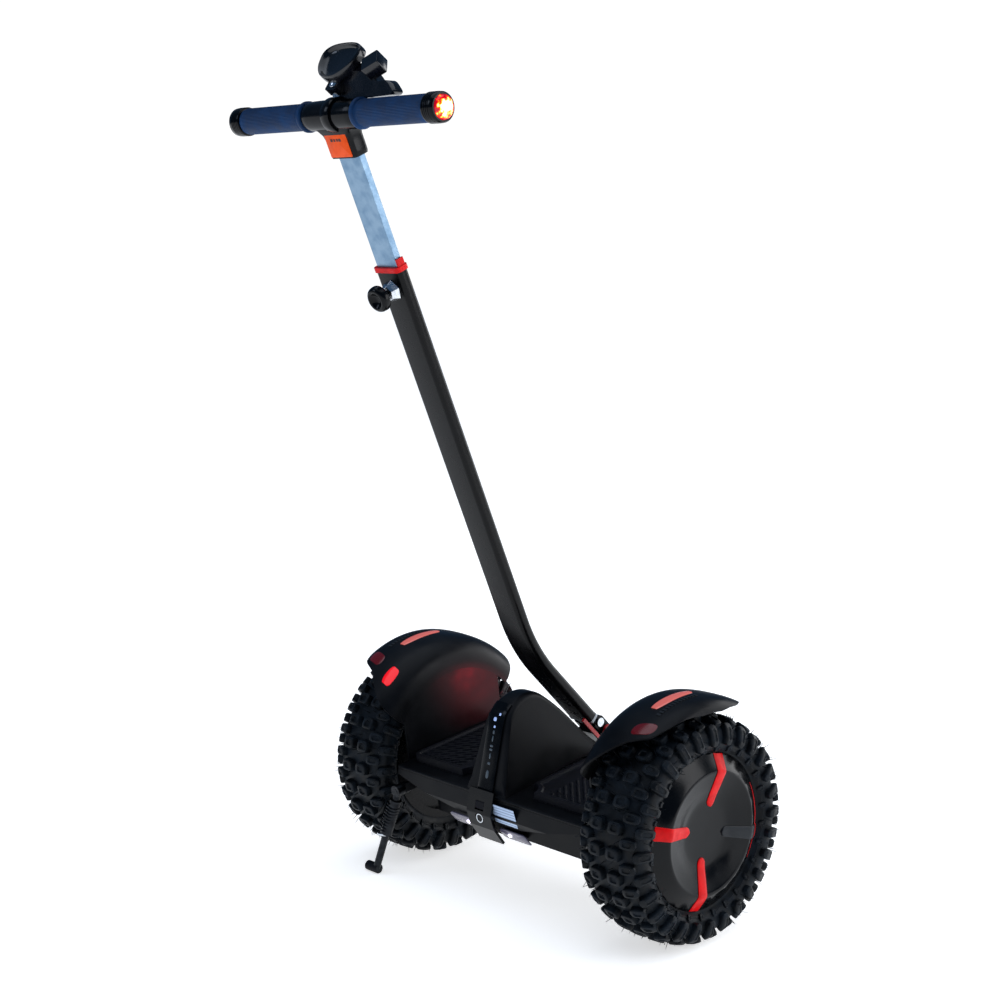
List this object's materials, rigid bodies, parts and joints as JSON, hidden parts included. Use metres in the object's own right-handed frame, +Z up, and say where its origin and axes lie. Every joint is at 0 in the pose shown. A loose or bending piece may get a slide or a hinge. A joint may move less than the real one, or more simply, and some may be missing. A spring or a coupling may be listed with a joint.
{
  "type": "self balancing hoverboard",
  "caption": "Two-wheeled self balancing board with knobbly tyres, fenders, foot pads, a telescoping handle pole, handlebar, phone holder and kickstand.",
  "frame": {"origin": "on the ground, midway between the wheels, straight below the axle", "axes": "+X to the rider's right along the axle, +Y forward, +Z up"},
  "size_m": [0.5606, 0.5034, 1.061],
  "materials": {
    "tyre_rubber": "matte",
    "rim_paint": "satin",
    "magnet_steel": "satin",
    "bearing_steel": "polished",
    "cap_plastic": "gloss",
    "red_plastic": "gloss",
    "pad_rubber": "matte",
    "fender_plastic": "satin",
    "axle_steel": "satin",
    "stator_steel": "satin",
    "cast_aluminium": "cast",
    "bush_bronze": "machined",
    "battery_wrap": "matte",
    "board_resin": "satin",
    "shell_plastic": "satin",
    "strip_plastic": "gloss",
    "lamp_lens": "clear",
    "button_plastic": "satin",
    "seal_rubber": "matte",
    "socket_plastic": "matte",
    "coral_lens": "gloss",
    "tail_lens": "gloss",
    "stand_steel": "satin",
    "base_paint": "satin",
    "latch_paint": "gloss",
    "pole_paint": "satin",
    "collar_plastic": "gloss",
    "knob_plastic": "satin",
    "tube_aluminium": "brushed",
    "bar_aluminium": "satin",
    "head_nylon": "satin",
    "grip_rubber": "matte",
    "collar_nylon": "satin",
    "end_lens": "gloss",
    "holder_plastic": "satin"
  },
  "bodies": {
    "chassis": {"frame_casting": "cast_aluminium", "lower_shell": "shell_plastic", "upper_shell": "shell_plastic", "console_cover": "shell_plastic", "console_strip": "strip_plastic", "rear_panel": "strip_plastic", "headlight_lenses": "lamp_lens", "deck_pad_left": "pad_rubber", "deck_pad_right": "pad_rubber", "foot_sensors": "board_resin", "fender_left": "fender_plastic", "fender_right": "fender_plastic", "fender_lenses": "coral_lens", "tail_lenses": "tail_lens", "axles": "axle_steel", "stators": "stator_steel", "axle_nuts": "axle_steel", "battery_pack": "battery_wrap", "control_board": "board_resin", "charge_socket": "socket_plastic", "steering_bush": "bush_bronze", "kickstand_bracket": "stand_steel", "bracket_bolts": "axle_steel", "shell_screws": "axle_steel"},
    "left_wheel": {"tyre_left": "tyre_rubber", "rim_left": "rim_paint", "motor_cover_left": "rim_paint", "magnet_ring_left": "magnet_steel", "wheel_bearings_left": "bearing_steel", "hub_cap_left": "cap_plastic", "cap_bars_left": "red_plastic"},
    "right_wheel": {"tyre_right": "tyre_rubber", "rim_right": "rim_paint", "motor_cover_right": "rim_paint", "magnet_ring_right": "magnet_steel", "wheel_bearings_right": "bearing_steel", "hub_cap_right": "cap_plastic", "cap_bars_right": "red_plastic"},
    "steering": {"steering_shaft": "axle_steel", "steering_base": "base_paint", "fold_pin": "axle_steel"},
    "fold_latch": {"fold_latch": "latch_paint"},
    "pole": {"pole_foot": "cast_aluminium", "pole_tube": "pole_paint", "slide_liner": "socket_plastic", "tube_collar": "collar_plastic"},
    "clamp_knob": {"clamp_knob": "knob_plastic"},
    "pole_top": {"inner_tube": "tube_aluminium", "tee_head": "head_nylon", "handlebar": "bar_aluminium", "grips": "grip_rubber", "end_collars": "collar_nylon", "end_lenses": "end_lens", "phone_clamp": "holder_plastic"},
    "phone_holder": {"phone_plate": "holder_plastic"},
    "phone_jaw": {"phone_jaw": "holder_plastic"},
    "power_button": {"power_button": "button_plastic"},
    "charge_flap": {"charge_flap": "seal_rubber"},
    "kickstand": {"kickstand_leg": "stand_steel", "kickstand_foot": "seal_rubber"}
  },
  "joints": [
    {"name": "left_wheel_spin", "type": "hinge", "parent": "chassis", "child": "left_wheel", "pos_m": [-0.2288, 0, 0.141], "axis": [1, 0, 0], "continuous": true},
    {"name": "right_wheel_spin", "type": "hinge", "parent": "chassis", "child": "right_wheel", "pos_m": [0.2288, 0, 0.141], "axis": [1, 0, 0], "continuous": true},
    {"name": "steering_tilt", "type": "hinge", "parent": "chassis", "child": "steering", "pos_m": [0, -0.00056, 0.14496], "axis": [0, 0.9903, 0.1392], "range_deg": [-10, 10], "stiffness_Nm_per_rad": 120},
    {"name": "pole_fold", "type": "hinge", "parent": "steering", "child": "pole", "pos_m": [0, 0.07649, 0.21199], "axis": [1, 0, 0], "range_deg": [-100, 0]},
    {"name": "latch_turn", "type": "hinge", "parent": "steering", "child": "fold_latch", "pos_m": [0, 0.08755, 0.20042], "axis": [1, 0, 0], "range_deg": [-70, 0]},
    {"name": "top_slide", "type": "slide", "parent": "pole", "child": "pole_top", "axis": [0, -0.4067, 0.9135], "range_m": [-0.12, 0.1]},
    {"name": "knob_turn", "type": "hinge", "parent": "pole", "child": "clamp_knob", "pos_m": [0, -0.2487, 0.78684], "axis": [0, -0.9135, -0.4067], "range_deg": [0, 360]},
    {"name": "button_press", "type": "slide", "parent": "chassis", "child": "power_button", "axis": [0, 0.9903, 0.1392], "range_m": [0, 0.0015], "stiffness_N_per_m": 600},
    {"name": "flap_swing", "type": "hinge", "parent": "chassis", "child": "charge_flap", "pos_m": [0, -0.11978, 0.14201], "axis": [1, 0, 0], "range_deg": [-90, 0]},
    {"name": "kickstand_swing", "type": "hinge", "parent": "chassis", "child": "kickstand", "pos_m": [-0.16, -0.11946, 0.12017], "axis": [0, 0.9903, 0.1392], "range_deg": [-95, 0]},
    {"name": "holder_tilt", "type": "hinge", "parent": "pole_top", "child": "phone_holder", "pos_m": [0.004, -0.33738, 1.00867], "axis": [1, 0, 0], "range_deg": [-15, 15]},
    {"name": "jaw_slide", "type": "slide", "parent": "phone_holder", "child": "phone_jaw", "axis": [1, 0, 0], "range_m": [0, 0.02], "stiffness_N_per_m": 150, "springref_m": -0.005}
  ]
}
